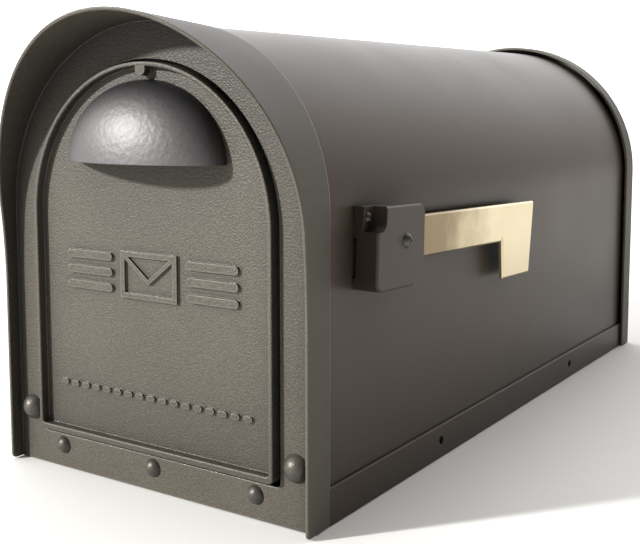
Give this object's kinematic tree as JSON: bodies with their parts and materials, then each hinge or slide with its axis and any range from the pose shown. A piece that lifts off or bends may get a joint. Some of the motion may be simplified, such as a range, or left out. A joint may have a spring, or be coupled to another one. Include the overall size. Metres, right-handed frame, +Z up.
{
  "type": "curbside mailbox",
  "caption": "Arch-top curbside mailbox with a visor over a drop-front door, a half-dome door pull and a side carrier flag that swings up.",
  "frame": {"origin": "centre of the mounting-board seat under the floor, midway between the skirt holes", "axes": "+Z up, -Y out of the door, +X to the right seen from the front, where the flag is"},
  "size_m": [0.2395, 0.5612, 0.2705],
  "materials": {
    "cast_coat": "textured dark bronze powder coat on cast aluminium",
    "sheet_coat": "smooth satin dark bronze powder coat on aluminium sheet",
    "door_coat": "textured dark bronze powder coat on cast aluminium",
    "pull_coat": "semi-gloss gunmetal bronze coat, slight orange peel",
    "cover_coat": "satin dark bronze powder coat on cast aluminium",
    "dome_coat": "semi-gloss dark bronze coat on dome heads",
    "flag_brass": "satin brushed brass, clear lacquered",
    "screw_steel": "blackened stainless pan heads",
    "plated_steel": "zinc plated steel",
    "raw_aluminium": "as-cast aluminium",
    "magnet": "dark ferrite block",
    "nylon": "natural nylon"
  },
  "bodies": {
    "box": {"base_pan": "sheet_coat", "body_wrapper": "sheet_coat", "catch_bracket": "plated_steel", "catch_magnet": "magnet", "catch_screw_left": "plated_steel", "catch_screw_right": "plated_steel", "flag_corner_nut": "plated_steel", "flag_corner_screw": "screw_steel", "flag_cover": "cover_coat", "flag_inner_washer": "plated_steel", "flag_pivot_bolt": "screw_steel", "flag_pivot_nut": "plated_steel", "flag_spacer": "nylon", "flag_spring_washer": "plated_steel", "floor_rivet_left_1": "plated_steel", "floor_rivet_left_2": "plated_steel", "floor_rivet_left_3": "plated_steel", "floor_rivet_right_1": "plated_steel", "floor_rivet_right_2": "plated_steel", "floor_rivet_right_3": "plated_steel", "front_frame": "cast_coat", "front_rivet_left": "dome_coat", "front_rivet_middle": "dome_coat", "front_rivet_right": "dome_coat", "hinge_block_left": "raw_aluminium", "hinge_block_right": "raw_aluminium", "hinge_bolt_left": "dome_coat", "hinge_bolt_right": "dome_coat", "hinge_nut_left": "plated_steel", "hinge_nut_right": "plated_steel", "hinge_pin_left": "plated_steel", "hinge_pin_right": "plated_steel", "rear_cap": "cast_coat", "rear_rivet_left": "dome_coat", "rear_rivet_middle": "dome_coat", "rear_rivet_right": "dome_coat"},
    "door": {"door_handle": "pull_coat", "door_panel": "door_coat", "door_strike": "plated_steel", "handle_screw_left": "plated_steel", "handle_screw_right": "plated_steel", "strike_rivet_left": "plated_steel", "strike_rivet_right": "plated_steel"},
    "flag": {"flag_arm": "flag_brass"}
  },
  "joints": [
    {"name": "door_hinge", "type": "hinge", "parent": "box", "child": "door", "pos_m": [0, -0.2556, 0.01473], "axis": [1, 0, 0], "range_deg": [0, 95]},
    {"name": "flag_pivot", "type": "hinge", "parent": "box", "child": "flag", "pos_m": [0.1175, -0.1865, 0.1271], "axis": [1, 0, 0], "range_deg": [0, 90]}
  ]
}
